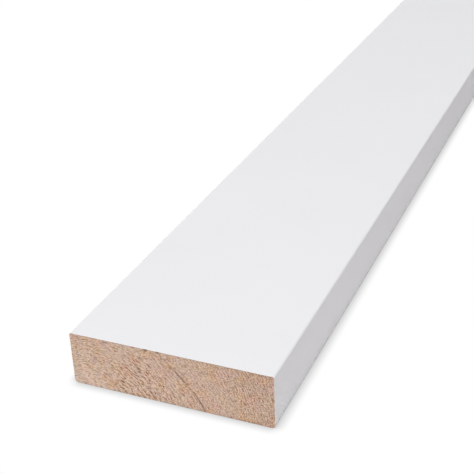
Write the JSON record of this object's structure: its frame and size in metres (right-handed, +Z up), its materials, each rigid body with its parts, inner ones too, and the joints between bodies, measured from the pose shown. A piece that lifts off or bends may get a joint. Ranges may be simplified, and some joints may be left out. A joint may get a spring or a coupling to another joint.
{
  "type": "fascia board",
  "caption": "Long planed softwood board of plain rectangular section with eased edges, white primed, bare sawn ends; closes and trims the rafter ends at the eaves.",
  "frame": {"origin": "centre of the back face, which lies on the floor", "axes": "+X across the board's width, +Y along its length towards the far end, +Z up out of the show face"},
  "size_m": [0.14, 2.4, 0.038],
  "materials": {
    "primed_softwood": "factory white primer, satin to matt, on all long faces; both ends bare, cross-cut softwood end grain"
  },
  "bodies": {
    "root": {"fascia_board": "primed_softwood"}
  },
  "joints": []
}
